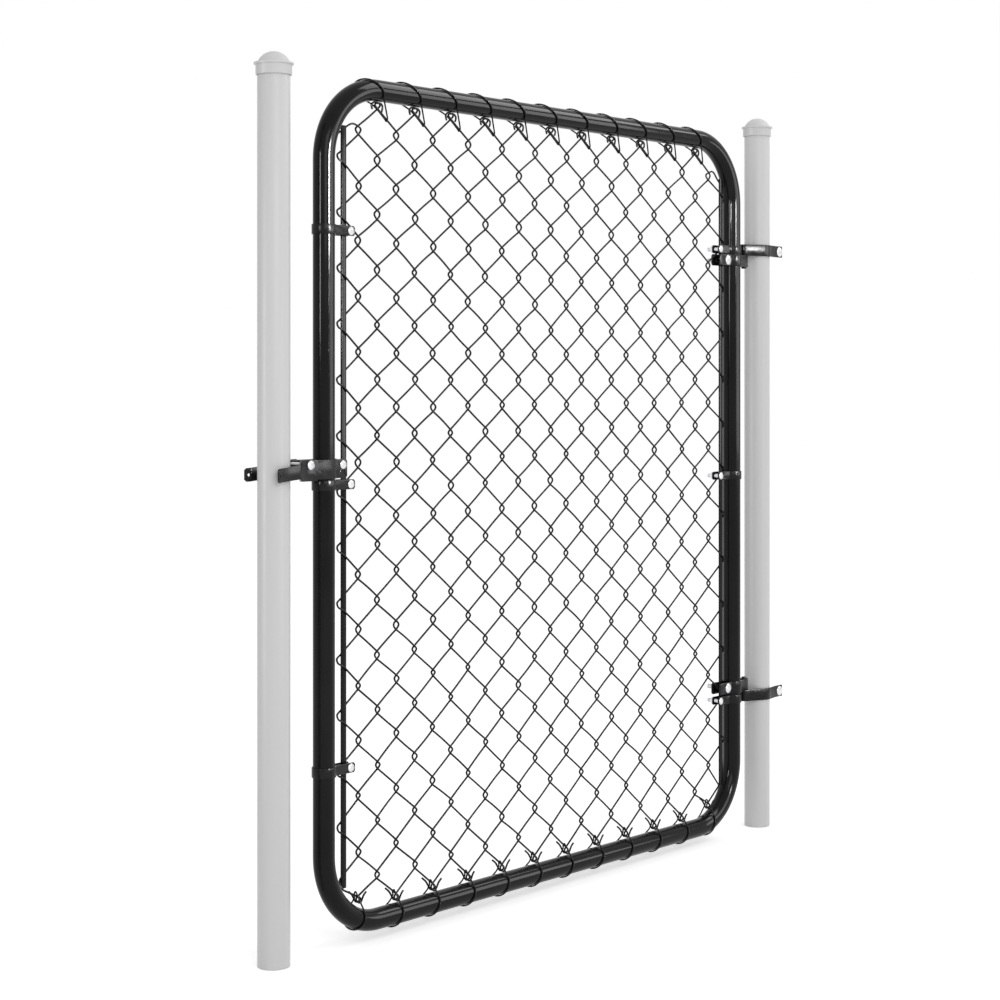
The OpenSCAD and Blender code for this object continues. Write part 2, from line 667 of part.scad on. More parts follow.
// Plan and side shapes of the fork, with the pivot at the origin and the tines along -X
module fork_side() {
    x1 = -plate_front;
    x2 = x1 - flare_len;
    tine_top = tine_h / 2 - tine_drop;
    tine_low = -tine_h / 2 - tine_drop;
    clip = side_clip;
    tip_top = tine_top - tine_dip;
    tip_low = tine_low - tine_dip;
    polygon([[plate_back - clip, plate_top], [x1, plate_top], [x2, tine_top], [-fork_len + clip, tip_top],
             [-fork_len, tip_top - clip], [-fork_len, tip_low + clip], [-fork_len + clip, tip_low],
             [x2, tine_low], [x1, -plate_low], [plate_back - clip, -plate_low],
             [plate_back, -plate_low + clip], [plate_back, plate_top - clip]]);
}

module latch_fork() {
    t = strap_t;
    y1 = plate_y + t / 2;
    y2 = tine_y + t / 2;
    reach = 2 * plate_low;
    fork_out = tine_y + tip_flare + 2 * t;
    color([0.1, 0.1, 0.1]) translate([pivot_x, 0, pivot_z]) difference() {
        union() {
            for (side = [-1, 1]) intersection() {
                translate([0, 0, -reach / 2]) linear_extrude(reach + plate_top)
                    bent_strip_2d([[plate_back, side * y1], [-plate_front, side * y1],
                                   [-plate_front - flare_len, side * y2], [-fork_len + tip_len, side * y2],
                                   [-fork_len - over, side * (y2 + tip_flare)]], t);
                rotate([90, 0, 0]) linear_extrude(2 * fork_out, center = true) fork_side();
            }
            translate([-plate_front, -y1, -web_low]) cube([web_t, 2 * y1, web_low + web_top]);
        }
        cross_hole(pivot_bolt_r + pin_fit, fork_out);
        translate([tip_hole_in - fork_len, 0, -tine_drop - tine_dip]) cross_hole(tip_hole_r, fork_out);
    }
}

module latch_pivot_bolt() {
    y = plate_y + strap_t + seat;
    translate([pivot_x, 0, pivot_z])
        bolt_and_nut(-y, y, y + pivot_bolt_past, pivot_bolt_r, pivot_head_r, pivot_head_h);
}

// Mesh, in four widths of pickets

module mesh(quarter) {
    first = floor(pickets * quarter / 4);
    last = floor(pickets * (quarter + 1) / 4) - 1;
    color([0.12, 0.12, 0.12]) for (i = [first : last]) wire_solid(picket_path(i), wire, [0, 1, 0]);
}

// Ties: each loops round a rail and hooks a front strand beside a knuckle

tie_steps = 7;                         // chords round the rail
tie_open = 48;                         // angle left open towards the mesh
tie_hook_top = 19;                     // from a top knuckle across to the hook
tie_hook_low = 15;                     // from a bottom knuckle across to the hook
lean_start = 40;                       // angle at which a tie starts to lean

// v is 1 on the top rail and -1 on the bottom rail, and the angle starts at the mesh side
function tie_ring(x, a, lean, v) =
    let (px = x - lean * (1 - cos(a - lean_start)) / 2,
         step = (360 - 2 * tie_open) / tie_steps,
         grow = (tie / 2 + 1.5 * seat) / cos(step / 2) + frame_r * (1 / cos(step / 2) - 1),
         mid = (outer_edge(px) + inner_edge(px)) / 2,
         half = (outer_edge(px) - inner_edge(px)) / 2 + grow,
         base = v > 0 ? bend_high : bend_low)
    [px, -(frame_r + grow) * sin(a), base + v * (mid - half * cos(a))];
// Height of a front strand at x, from its end rings a and b
function strand_z(x, a, b) = mix(a[2], b[2], (x - a[0]) / (b[0] - a[0]));
// The hook goes under the strand, which crosses the tie's width at a slope of about 45 degrees
function hook_rings(x, z, v) =
    let (drop = wire / 2 * sqrt(2) + tie + 1.5 * seat, out = (wire + tie) / 2 + seat)
    [[x, -strand_y + out, z], [x, -strand_y + out, z - v * drop],
     [x, -strand_y - out, z - v * drop], [x, -strand_y - out, z]];
function tie_path(j, v) =
    let (x = column_x(j), lean = v > 0 ? top_tie_lean : bottom_tie_lean,
         i = v > 0 ? j + 1 : j,
         k = v > 0 ? 0 : half_rows - 1,
         above = bend_points(i, k), below = bend_points(i, k + 1),
         hook_x = v > 0 ? x + tie_hook_top : x - tie_hook_low,
         hook_z = strand_z(hook_x, above[len(above) - 1], below[0]),
         step = (360 - 2 * tie_open) / tie_steps)
    concat([for (n = [0 : tie_steps]) tie_ring(x, tie_open + n * step, lean, v)],
           hook_rings(hook_x, hook_z, v));

module ties(first, v) {
    color([0.12, 0.12, 0.12]) for (j = [first : 2 : pickets - 2])
        wire_solid(tie_path(j, v), tie, [1, 0, 0], true);
}
module top_ties() { ties(1, 1); }
module bottom_ties() { ties(0, -1); }

hinge_post();
hinge_post_cap();
latch_post();
latch_post_cap();
top_post_hinge();
top_post_hinge_bolt();
bottom_post_hinge();
bottom_post_hinge_bolt();
gate_frame();
left_tension_bar();
right_tension_bar();
left_band(0);  // left_top_band
left_band(1);  // left_middle_band
left_band(2);  // left_bottom_band
right_band(0);  // right_top_band
right_band(1);  // right_middle_band
right_band(2);  // right_bottom_band
left_band_bolt(0);  // left_top_band_bolt
left_band_bolt(1);  // left_middle_band_bolt
left_band_bolt(2);  // left_bottom_band_bolt
right_band_bolt(0);  // right_top_band_bolt
right_band_bolt(1);  // right_middle_band_bolt
right_band_bolt(2);  // right_bottom_band_bolt
top_frame_hinge();
top_frame_hinge_bolt();
bottom_frame_hinge();
bottom_frame_hinge_bolt();
latch_clamp_front();
latch_clamp_back();
latch_clamp_bolt();
latch_pivot_bolt();
latch_fork();
mesh(0);  // mesh_left
mesh(1);  // mesh_mid_left
mesh(2);  // mesh_mid_right
mesh(3);  // mesh_right
top_ties();
bottom_ties();
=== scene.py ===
"""The looks of the chain link gate: smooth tube and wire, bolts with threads, finishes, light and camera.

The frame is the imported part's: +Z up, -X from the hinge post to the latch post, front at -Y. The camera,
the floor and the lamps are placed in metres, and the pieces are built in millimetres.
"""

import json
import math
import random

import bpy
from mathutils import Matrix, Vector

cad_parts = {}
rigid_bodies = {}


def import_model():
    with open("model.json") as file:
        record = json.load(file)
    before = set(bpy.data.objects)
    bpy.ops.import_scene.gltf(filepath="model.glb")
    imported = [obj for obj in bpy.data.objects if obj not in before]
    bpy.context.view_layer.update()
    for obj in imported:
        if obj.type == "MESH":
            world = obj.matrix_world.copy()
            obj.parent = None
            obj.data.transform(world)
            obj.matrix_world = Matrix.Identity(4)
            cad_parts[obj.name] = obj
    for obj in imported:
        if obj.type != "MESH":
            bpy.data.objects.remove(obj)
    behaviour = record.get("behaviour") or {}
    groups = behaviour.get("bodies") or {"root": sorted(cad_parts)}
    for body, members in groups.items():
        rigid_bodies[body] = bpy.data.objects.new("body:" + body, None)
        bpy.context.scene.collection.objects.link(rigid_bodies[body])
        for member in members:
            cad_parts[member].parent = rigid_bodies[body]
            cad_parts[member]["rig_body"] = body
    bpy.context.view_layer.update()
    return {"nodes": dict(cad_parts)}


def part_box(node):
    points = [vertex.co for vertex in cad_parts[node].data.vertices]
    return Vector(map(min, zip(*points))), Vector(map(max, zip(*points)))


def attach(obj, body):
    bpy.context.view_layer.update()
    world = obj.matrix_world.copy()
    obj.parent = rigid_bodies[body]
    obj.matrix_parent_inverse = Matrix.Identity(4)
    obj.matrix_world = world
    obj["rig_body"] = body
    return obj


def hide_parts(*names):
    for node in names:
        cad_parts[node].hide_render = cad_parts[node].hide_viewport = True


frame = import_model()
nodes = frame["nodes"]

MM = 0.001

# Sizes of the part, in millimetres
FRAME_R = 17.45
CORNER_R = 120.0
WIRE_R = 1.65
TIE_R = 1.35
SEAT = 0.3

# The weave: how many wires, how many rows of bends, and how far a folded end reaches past the last bend
PICKETS = 24
HALF_ROWS = 29
KNUCKLE_H = 7.48
KNUCKLE_W = 7.6
LOOP_OUT = 11.0
LOOP_IN = 1.5


def span(node):
    """Lowest and highest corners of a CAD node, in millimetres."""
    low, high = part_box(node)
    return low / MM, high / MM


# Places read from the frame
FRAME_LOW, FRAME_HIGH = span("gate_frame")
LEFT_X = FRAME_LOW.x + FRAME_R
RIGHT_X = FRAME_HIGH.x - FRAME_R
RAIL_LOW = FRAME_LOW.z + FRAME_R
RAIL_HIGH = FRAME_HIGH.z - FRAME_R
BEND_LEFT = LEFT_X + CORNER_R
BEND_RIGHT = RIGHT_X - CORNER_R
BEND_LOW = RAIL_LOW + CORNER_R
BEND_HIGH = RAIL_HIGH - CORNER_R
INNER_R = CORNER_R - FRAME_R
OUTER_R = CORNER_R + FRAME_R
FRAME_MID = (RAIL_LOW + RAIL_HIGH) / 2

LEFT_BAR_LOW, LEFT_BAR_HIGH = span("left_tension_bar")
RIGHT_BAR_LOW, RIGHT_BAR_HIGH = span("right_tension_bar")
LEFT_BAR_X = (LEFT_BAR_LOW.x + LEFT_BAR_HIGH.x) / 2
RIGHT_BAR_X = (RIGHT_BAR_LOW.x + RIGHT_BAR_HIGH.x) / 2
BAR_W = LEFT_BAR_HIGH.x - LEFT_BAR_LOW.x
BAR_T = LEFT_BAR_HIGH.y - LEFT_BAR_LOW.y
WEAVE_LEFT = LEFT_BAR_X - LOOP_OUT
WEAVE_RIGHT = RIGHT_BAR_X + LOOP_IN
COLUMN = (WEAVE_RIGHT - WEAVE_LEFT) / PICKETS

MESH_TOP = RAIL_HIGH - FRAME_R - SEAT - KNUCKLE_H
MESH_LOW = RAIL_LOW + FRAME_R + SEAT + KNUCKLE_H
HALF_ROW = (MESH_TOP - MESH_LOW) / HALF_ROWS


# Camera and light

def add_camera():
    """The camera that the photo's rails and posts gave."""
    place = Vector((-3.586, -2.350, 0.898))
    forward = Vector((0.7641, 0.6451, 0.0)).normalized()
    right = Vector((forward.y, -forward.x, 0.0))
    focal_px = 2113.0
    picture_px = 1000.0
    horizon_px = 379.0
    camera = bpy.data.cameras.new("camera")
    camera.sensor_width = 36.0
    camera.lens = focal_px / picture_px * camera.sensor_width
    camera.shift_y = (horizon_px - picture_px / 2) / picture_px
    camera.clip_end = 60.0
    obj = bpy.data.objects.new("camera", camera)
    turn = Matrix((right, (0.0, 0.0, 1.0), -forward)).transposed()
    obj.matrix_world = Matrix.Translation(place) @ turn.to_4x4()
    bpy.context.scene.collection.objects.link(obj)
    bpy.context.scene.camera = obj


def add_lamp(name, place, target, width, height, watts, spread=180.0, only=None):
    """A soft box. With only, a collection, it shows in the gloss of those pieces and lights nothing else."""
    lamp = bpy.data.lights.new(name, "AREA")
    lamp.shape = "RECTANGLE"
    lamp.size = width
    lamp.size_y = height
    lamp.energy = watts
    lamp.spread = math.radians(spread)
    obj = bpy.data.objects.new(name, lamp)
    aim = Vector(target) - Vector(place)
    obj.matrix_world = Matrix.Translation(place) @ aim.to_track_quat("-Z", "Y").to_matrix().to_4x4()
    obj.visible_camera = False
    if only:
        obj.light_linking.receiver_collection = only
        obj.light_linking.blocker_collection = only
        obj.visible_diffuse = False
    bpy.context.scene.collection.objects.link(obj)


def add_light(coated, pale):
    """Two soft boxes light the whole gate. The others show in the gloss of the black pieces or the posts."""
    rails, gate_mid = (-0.65, 0.0, 0.9), (-0.65, 0.0, 0.7)
    left_tube, right_tube = (-1.25, 0.0, 1.35), (-0.09, 0.0, 1.3)
    add_lamp("front_soft", (-3.2, -4.4, 2.6), gate_mid, 2.4, 2.4, 60.0)
    add_lamp("top_soft", (1.6, -1.6, 3.6), rails, 2.2, 2.2, 25.0)
    add_lamp("rail_soft", (1.6, -1.6, 3.6), rails, 2.2, 2.2, 80.0, only=coated)
    add_lamp("side_soft", (1.95, -3.83, 1.5), (-1.25, 0.0, 1.2), 3.4, 1.8, 120.0, only=coated)
    add_lamp("front_strip", (0.06, -5.86, 2.05), (-1.25, 0.0, 1.4), 1.2, 1.1, 42.0, 34.0, coated)
    add_lamp("left_strip", (-4.23, -0.35, 1.5), left_tube, 0.3, 0.9, 34.0, only=coated)
    add_lamp("right_tube_strip", (-2.32, -1.13, 1.56), right_tube, 0.22, 0.4, 0.6, 15.0, coated)
    add_lamp("post_strip", (-4.1, 1.18, 0.8), (-1.34, 0.0, 0.8), 0.35, 2.4, 40.0, only=pale)
    add_lamp("hinge_post_fill", (-0.85, 0.35, 0.7), (0.0, 0.0, 0.7), 0.5, 2.0, 3.2, only=pale)
    add_lamp("post_edge", (0.06, -5.86, 0.9), (-0.7, 0.0, 0.9), 0.9, 2.6, 40.0, only=pale)


def add_world():
    """White to the camera and in reflections, and a level grey light on the object."""
    light_level, seen_level = 0.7, 1.0
    world = bpy.data.worlds.new("studio")
    bpy.context.scene.world = world
    world.use_nodes = True
    tree = world.node_tree
    tree.nodes.clear()
    seen = seen_ray(tree)
    level = tree.nodes.new("ShaderNodeMix")
    level.data_type = "FLOAT"
    level.inputs[2].default_value = light_level
    level.inputs[3].default_value = seen_level
    background = tree.nodes.new("ShaderNodeBackground")
    background.inputs["Color"].default_value = (1.0, 1.0, 1.0, 1.0)
    out = tree.nodes.new("ShaderNodeOutputWorld")
    tree.links.new(seen, level.inputs[0])
    tree.links.new(level.outputs[0], background.inputs["Strength"])
    tree.links.new(background.outputs[0], out.inputs["Surface"])


def seen_ray(tree):
    """1 for rays that the eye sees directly, by reflection or through glass."""
    path = tree.nodes.new("ShaderNodeLightPath")
    total = path.outputs["Is Camera Ray"]
    for name in ("Is Glossy Ray", "Is Transmission Ray"):
        top = tree.nodes.new("ShaderNodeMath")
        top.operation = "MAXIMUM"
        tree.links.new(total, top.inputs[0])
        tree.links.new(path.outputs[name], top.inputs[1])
        total = top.outputs[0]
    return total


def add_floor():
    """A white floor that keeps the shadow, with some glow of its own for the rays that see it."""
    half = 14.0
    drop = 0.0006
    glow_level = 0.4
    mesh = bpy.data.meshes.new("floor")
    corners = [(-half, -half, -drop), (half, -half, -drop), (half, half, -drop), (-half, half, -drop)]
    mesh.from_pydata(corners, [], [(0, 1, 2, 3)])
    floor = bpy.data.objects.new("floor", mesh)
    bpy.context.scene.collection.objects.link(floor)
    material = bpy.data.materials.new("floor_white")
    material.use_nodes = True
    tree = material.node_tree
    tree.nodes.clear()
    matt = tree.nodes.new("ShaderNodeBsdfDiffuse")
    matt.inputs["Color"].default_value = (0.9, 0.9, 0.9, 1.0)
    glow = tree.nodes.new("ShaderNodeEmission")
    lift = tree.nodes.new("ShaderNodeMath")
    lift.operation = "MULTIPLY"
    lift.inputs[1].default_value = glow_level
    both = tree.nodes.new("ShaderNodeAddShader")
    out = tree.nodes.new("ShaderNodeOutputMaterial")
    tree.links.new(seen_ray(tree), lift.inputs[0])
    tree.links.new(lift.outputs[0], glow.inputs["Strength"])
    tree.links.new(matt.outputs[0], both.inputs[0])
    tree.links.new(glow.outputs[0], both.inputs[1])
    tree.links.new(both.outputs[0], out.inputs["Surface"])
    mesh.materials.append(material)


# Materials

def new_material(name, color, rough, metal, specular):
    material = bpy.data.materials.new(name)
    material.use_nodes = True
    shader = material.node_tree.nodes["Principled BSDF"]
    shader.inputs["Base Color"].default_value = (*color, 1.0)
    shader.inputs["Roughness"].default_value = rough
    shader.inputs["Metallic"].default_value = metal
    shader.inputs["Specular IOR Level"].default_value = specular
    return material, material.node_tree, shader


def add_noise(tree, scale, detail):
    """A noise over the object's own place, at so many waves a metre."""
    place = tree.nodes.new("ShaderNodeTexCoord")
    noise = tree.nodes.new("ShaderNodeTexNoise")
    noise.inputs["Scale"].default_value = scale
    noise.inputs["Detail"].default_value = detail
    tree.links.new(place.outputs["Object"], noise.inputs["Vector"])
    return noise.outputs["Fac"]


def stretched(tree, value, low, high):
    """The middle part of a noise, stretched between two levels."""
    rule = tree.nodes.new("ShaderNodeMapRange")
    rule.inputs["From Min"].default_value = 0.3
    rule.inputs["From Max"].default_value = 0.7
    rule.inputs["To Min"].default_value = low
    rule.inputs["To Max"].default_value = high
    tree.links.new(value, rule.inputs["Value"])
    return rule.outputs["Result"]


def add_tint(tree, shader, value, dark, light):
    """The base colour runs from dark to light with the value."""
    ramp = tree.nodes.new("ShaderNodeMix")
    ramp.data_type = "RGBA"
    ramp.inputs["A"].default_value = (*dark, 1.0)
    ramp.inputs["B"].default_value = (*light, 1.0)
    tree.links.new(value, ramp.inputs["Factor"])
    tree.links.new(ramp.outputs["Result"], shader.inputs["Base Color"])


def add_bump(tree, shader, value, height, strength):
    bump = tree.nodes.new("ShaderNodeBump")
    bump.inputs["Strength"].default_value = strength
    bump.inputs["Distance"].default_value = height
    tree.links.new(value, bump.inputs["Height"])
    tree.links.new(bump.outputs["Normal"], shader.inputs["Normal"])


def gloss_black():
    """Baked black coat over steel, with a faint orange peel."""
    material, tree, shader = new_material("gloss_black", (0.006, 0.006, 0.0065), 0.1, 0.0, 0.12)
    add_tint(tree, shader, stretched(tree, add_noise(tree, 9.0, 3.0), 0.0, 1.0),
             (0.0045, 0.0045, 0.005), (0.0085, 0.0085, 0.009))
    tree.links.new(stretched(tree, add_noise(tree, 30.0, 4.0), 0.07, 0.13), shader.inputs["Roughness"])
    add_bump(tree, shader, add_noise(tree, 60.0, 1.0), 0.00002, 0.25)
    return material


def strap_black():
    """The same coat on formed strap, thicker and less even."""
    material, tree, shader = new_material("strap_black", (0.007, 0.007, 0.0075), 0.2, 0.0, 0.16)
    add_tint(tree, shader, stretched(tree, add_noise(tree, 40.0, 3.0), 0.0, 1.0),
             (0.005, 0.005, 0.0055), (0.011, 0.011, 0.0115))
    tree.links.new(stretched(tree, add_noise(tree, 90.0, 4.0), 0.14, 0.3), shader.inputs["Roughness"])
    add_bump(tree, shader, add_noise(tree, 600.0, 2.0), 0.00005, 0.6)
    return material


def wire_black():
    """Black coated wire, a little duller than the frame."""
    material, tree, shader = new_material("wire_black", (0.007, 0.007, 0.007), 0.3, 0.0, 0.12)
    add_tint(tree, shader, stretched(tree, add_noise(tree, 14.0, 4.0), 0.0, 1.0),
             (0.004, 0.004, 0.004), (0.012, 0.012, 0.012))
    tree.links.new(stretched(tree, add_noise(tree, 120.0, 3.0), 0.24, 0.42), shader.inputs["Roughness"])
    add_bump(tree, shader, add_noise(tree, 900.0, 2.0), 0.00004, 0.5)
    return material


def zinc_plate():
    """Bright zinc, with soft cloudy patches from the bath."""
    material, tree, shader = new_material("zinc_plate", (0.78, 0.79, 0.8), 0.3, 0.85, 0.5)
    add_tint(tree, shader, stretched(tree, add_noise(tree, 160.0, 4.0), 0.0, 1.0),
             (0.66, 0.67, 0.69), (0.86, 0.865, 0.87))
    tree.links.new(stretched(tree, add_noise(tree, 300.0, 4.0), 0.22, 0.42), shader.inputs["Roughness"])
    add_bump(tree, shader, add_noise(tree, 1400.0, 2.0), 0.00003, 0.5)
    return material


def post_grey():
    """Pale grey coated post, satin, with long soft streaks."""
    material, tree, shader = new_material("post_grey", (0.62, 0.62, 0.62), 0.38, 0.0, 0.4)
    place = tree.nodes.new("ShaderNodeTexCoord")
    long_way = tree.nodes.new("ShaderNodeMapping")
    long_way.inputs["Scale"].default_value = (30.0, 30.0, 1.5)
    streak = tree.nodes.new("ShaderNodeTexNoise")
    streak.inputs["Scale"].default_value = 1.0
    streak.inputs["Detail"].default_value = 4.0
    tree.links.new(place.outputs["Object"], long_way.inputs["Vector"])
    tree.links.new(long_way.outputs["Vector"], streak.inputs["Vector"])
    add_tint(tree, shader, stretched(tree, streak.outputs["Fac"], 0.0, 1.0),
             (0.605, 0.605, 0.605), (0.64, 0.64, 0.64))
    tree.links.new(stretched(tree, add_noise(tree, 25.0, 3.0), 0.32, 0.44), shader.inputs["Roughness"])
    add_bump(tree, shader, add_noise(tree, 500.0, 2.0), 0.00004, 0.4)
    return material


# Mesh making

def new_piece(name, verts, faces, material, slot, body, smooth=40.0):
    """A piece in millimetres that rides on a body, with edges sharper than the angle left sharp."""
    mesh = bpy.data.meshes.new(name)
    mesh.from_pydata([tuple(c * MM for c in v) for v in verts], [], faces)
    mesh.validate()
    mesh.materials.append(material)
    obj = bpy.data.objects.new(name, mesh)
    bpy.context.scene.collection.objects.link(obj)
    shade(obj, smooth)
    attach(obj, body)
    return obj


def shade(obj, degrees):
    """Smooth shading, with edges sharper than the angle left sharp."""
    mesh = obj.data
    mesh.polygons.foreach_set("use_smooth", [True] * len(mesh.polygons))
    mesh.set_sharp_from_angle(angle=math.radians(degrees))


def across(along):
    """A direction square to the first step of a tube."""
    least = 0.1
    normal = along.cross(Vector((0.0, 1.0, 0.0)))
    return normal if normal.length >= least else along.cross(Vector((1.0, 0.0, 0.0)))


def tube(path, radius, sides, shut=False):
    """Vertices and faces of a round tube along a path of vectors, with a domed end at each cut."""
    n = len(path)
    dome = 0.55
    steps = []
    for i in range(n):
        before = path[i - 1] if i > 0 or shut else path[i]
        after = path[(i + 1) % n] if i < n - 1 or shut else path[i]
        steps.append((after - before).normalized())
    verts, faces = [], []
    normal = across(steps[0])
    for centre, along in zip(path, steps):
        normal = (normal - along * normal.dot(along)).normalized()
        side = along.cross(normal)
        for k in range(sides):
            a = 2 * math.pi * k / sides
            verts.append(centre + (normal * math.cos(a) + side * math.sin(a)) * radius)
    for i in range(n if shut else n - 1):
        j = (i + 1) % n
        for k in range(sides):
            m = (k + 1) % sides
            faces.append((i * sides + k, j * sides + k, j * sides + m, i * sides + m))
    if not shut:
        for i, way in ((0, -1), (n - 1, 1)):
            tip = len(verts)
            verts.append(path[i] + steps[i] * way * radius * dome)
            for k in range(sides):
                a, b = i * sides + k, i * sides + (k + 1) % sides
                faces.append((a, b, tip) if way > 0 else (b, a, tip))
    return verts, faces


def joined(parts):
    """Several meshes as one list of vertices and one of faces."""
    verts, faces = [], []
    for more_verts, more_faces in parts:
        base = len(verts)
        verts.extend(more_verts)
        faces.extend(tuple(base + c for c in face) for face in more_faces)
    return verts, faces


def rounded(path, cuts, steps):
    """Each inner corner of the path becomes a curve that starts and ends at most a cut away from it."""
    out = [path[0]]
    for i in range(1, len(path) - 1):
        back, ahead = path[i - 1] - path[i], path[i + 1] - path[i]
        cut = cuts[i] if isinstance(cuts, list) else cuts
        start = path[i] + back.normalized() * min(cut, back.length / 2)
        end = path[i] + ahead.normalized() * min(cut, ahead.length / 2)
        for k in range(steps + 1):
            t = k / steps
            out.append(start * (1 - t) ** 2 + path[i] * 2 * t * (1 - t) + end * t * t)
    out.append(path[-1])
    return out


def thinned(path, least):
    """The path without points closer to the last one kept than least."""
    out = [path[0]]
    for p in path[1:-1]:
        if (p - out[-1]).length >= least:
            out.append(p)
    if (path[-1] - out[-1]).length < least and len(out) > 1:
        out.pop()
    out.append(path[-1])
    return out


def lathe(profile, sides, turn):
    """A closed body turned round +Z from (radius, height) pairs, then moved by the matrix turn."""
    verts, faces, rows = [], [], []
    for r, h in profile:
        if r == 0.0:
            rows.append([len(verts)])
            verts.append(turn @ Vector((0.0, 0.0, h)))
            continue
        rows.append(list(range(len(verts), len(verts) + sides)))
        for k in range(sides):
            a = 2 * math.pi * k / sides
            verts.append(turn @ Vector((r * math.cos(a), r * math.sin(a), h)))
    for low, high in zip(rows, rows[1:]):
        for k in range(sides):
            m = (k + 1) % sides
            if len(low) == 1:
                faces.append((low[0], high[m], high[k]))
            elif len(high) == 1:
                faces.append((low[k], low[m], high[0]))
            else:
                faces.append((low[k], low[m], high[m], high[k]))
    return verts, faces


# Frame tube

def frame_tube(material):
    """The bent tube: four round corners, and the straight runs between them."""
    turns, sides = 28, 72
    path = []
    for cx, cz, start in ((BEND_RIGHT, BEND_HIGH, 0), (BEND_LEFT, BEND_HIGH, 90),
                          (BEND_LEFT, BEND_LOW, 180), (BEND_RIGHT, BEND_LOW, 270)):
        for k in range(turns + 1):
            a = math.radians(start + 90 * k / turns)
            path.append(Vector((cx + CORNER_R * math.cos(a), 0.0, cz + CORNER_R * math.sin(a))))
    piece = new_piece("frame_tube", *tube(path, FRAME_R, sides, shut=True), material, "frame", "gate", 60.0)
    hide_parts("gate_frame")


# Bolts

# Head radius, head height and shank radius, by the part of the node's name
BOLT_SIZES = (("hinge", (9.6, 4.6, 4.75)), ("pivot", (7.3, 3.4, 3.95)), ("", (6.8, 3.2, 3.95)))


def head_profile(head_r, head_h, shank_r):
    """The domed head from its top to the shank."""
    rim, steps = 0.35, 8
    ball_r = (head_r ** 2 + head_h ** 2) / (2 * head_h)
    top_angle = math.asin(min(1.0, (head_r - rim / 2) / ball_r))
    dome = [(0.0, -head_h)]
    for k in range(1, steps + 1):
        a = top_angle * k / steps
        dome.append((ball_r * math.sin(a), ball_r - head_h - ball_r * math.cos(a)))
    return dome + [(head_r, -rim), (head_r - rim, 0.0), (shank_r, 0.0)]


def shank_profile(shank_r, plain, length):
    """The plain part, the thread's ridges and the chamfered end."""
    pitch, thread_depth, worn = 1.6, 0.55, 0.05
    run_out, chamfer_h, chamfer_r = 1.6, 1.2, 0.4
    core = shank_r - thread_depth
    shank = [(shank_r, plain)]
    h = plain
    while h + pitch < length - run_out:
        shank += [(core, h + pitch * 0.5), (shank_r - worn, h + pitch)]
        h += pitch
    return shank + [(core, length - chamfer_h), (core - chamfer_r, length), (0.0, length)]


def bolt_parts(node, head_r, head_h, shank_r, rng):
    """A carriage bolt along +Y with its thread and nut, inside the box of its CAD node."""
    low, high = span(node)
    x, z = (low.x + high.x) / 2, (low.z + high.z) / 2
    grip = -(low.y + head_h)
    length = high.y + grip
    sides = 40
    spin = rng.uniform(0.0, 2 * math.pi)
    turn = (Matrix.Translation((x, -grip, z)) @ Matrix.Rotation(-math.pi / 2, 4, "X")
            @ Matrix.Rotation(spin, 4, "Z"))
    profile = head_profile(head_r, head_h, shank_r) + shank_profile(shank_r, grip * 0.5, length)
    return [lathe(profile, sides, turn), nut_part(shank_r, 2 * grip, turn, rng)]


def nut_part(shank_r, seat_h, turn, rng):
    """A hexagon nut with chamfered corners, seated at height seat_h along the bolt."""
    flats = 3.4 * shank_r
    height = 1.6 * shank_r
    edge = 0.13 * flats * 0.35
    face_r = 0.94 * flats / 2
    hole = shank_r - 0.5
    corner_rise = 0.55
    sixth = math.pi / 3
    sides = 48
    spin = rng.uniform(0.0, math.pi)
    rows = [(hole, 0.0, False), (face_r, 0.0, False), (flats / 2, edge, True),
            (flats / 2, height - edge, True), (face_r, height, False), (hole, height, False)]
    verts, faces = [], []
    for r, h, hexagon in rows:
        for k in range(sides):
            a = 2 * math.pi * k / sides
            reach, rise = r, h
            if hexagon:
                reach = r / math.cos((a + sixth / 2) % sixth - sixth / 2)
                lift = (reach - r) * corner_rise
                rise = h + lift if h < height / 2 else h - lift
            at = a + spin
            verts.append(turn @ Vector((reach * math.cos(at), reach * math.sin(at), seat_h + rise)))
    for i in range(len(rows)):
        j = (i + 1) % len(rows)
        for k in range(sides):
            m = (k + 1) % sides
            faces.append((i * sides + k, i * sides + m, j * sides + m, j * sides + k))
    return verts, faces


def add_bolts(material):
    rng = random.Random(7)
    for node in sorted(nodes):
        if not node.endswith("_bolt"):
            continue
        sizes = next(row for word, row in BOLT_SIZES if word in node)
        parts = bolt_parts(node, *sizes, rng)
        body = nodes[node]["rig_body"]
        piece = new_piece("carriage_" + node, *joined(parts), material, "bolts", body, 38.0)
        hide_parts(node)


# Weave

WIRE_SIDES = 8
WIRE_STEP = 0.35
STRAND_Y = WIRE_R + 0.15
LOOP_Y = BAR_T / 2 + WIRE_R + 0.3
FOLD_X = 3.8
FOLD_Z = 2.5
TURN = 4.0

# Down to which row the eyes have which half width, and how much that varies: they are wider at the top
EYES = ((6, 5.6, 0.6), (20, 4.9, 0.8), (HALF_ROWS, 4.3, 0.8))


def column_x(j):
    """X of the bends between wire j and wire j + 1."""
    return WEAVE_LEFT + (j + 1) * COLUMN


def row_z(k):
    return MESH_TOP - HALF_ROW * k


def on_right(i, k):
    """Whether wire i has its bend of row k on its hinge side."""
    return i % 2 != k % 2


def in_corner(x):
    return max(0.0, BEND_LEFT - x, x - BEND_RIGHT)


def inner_edge(x):
    return math.sqrt(max(0.0, INNER_R ** 2 - in_corner(x) ** 2))


def outer_edge(x):
    return math.sqrt(max(0.0, OUTER_R ** 2 - in_corner(x) ** 2))


